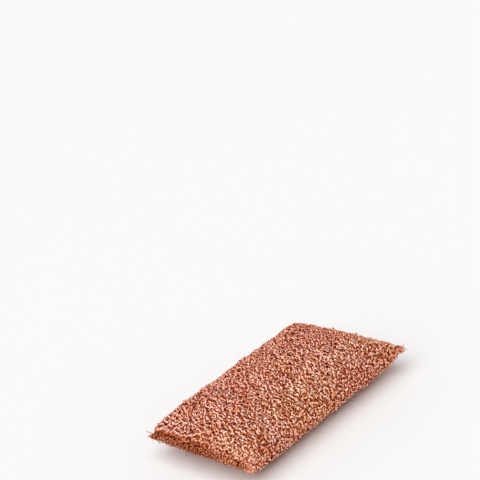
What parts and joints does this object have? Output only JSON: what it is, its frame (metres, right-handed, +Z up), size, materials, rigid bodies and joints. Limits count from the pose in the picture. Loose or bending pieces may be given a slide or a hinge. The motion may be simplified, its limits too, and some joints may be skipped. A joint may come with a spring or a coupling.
{
  "type": "knitted pot scrubber",
  "caption": "Soft rectangular pot scrubber: a foam block in a knitted sleeve of looped copper-coloured tape, with a flat sewn hem across each short end.",
  "frame": {"origin": "centre of the flat seat underneath the pad, at the level of the surface it lies on", "axes": "+X along the pad's length from one sewn end to the other, +Y across it from fold to fold, +Z up out of the upper face"},
  "size_m": [0.1422, 0.101, 0.028],
  "materials": {
    "metallic_knit": "knitted metallised tape, rose copper, glittering, with a dense pile of small loops",
    "foam": "open-cell polyurethane foam, pale amber",
    "sewing_thread": "spun polyester sewing thread, copper brown"
  },
  "bodies": {
    "root": {"knit_sleeve": "metallic_knit", "foam_core": "foam", "left_needle_thread": "sewing_thread", "left_looper_thread": "sewing_thread", "right_needle_thread": "sewing_thread", "right_looper_thread": "sewing_thread"}
  },
  "joints": []
}
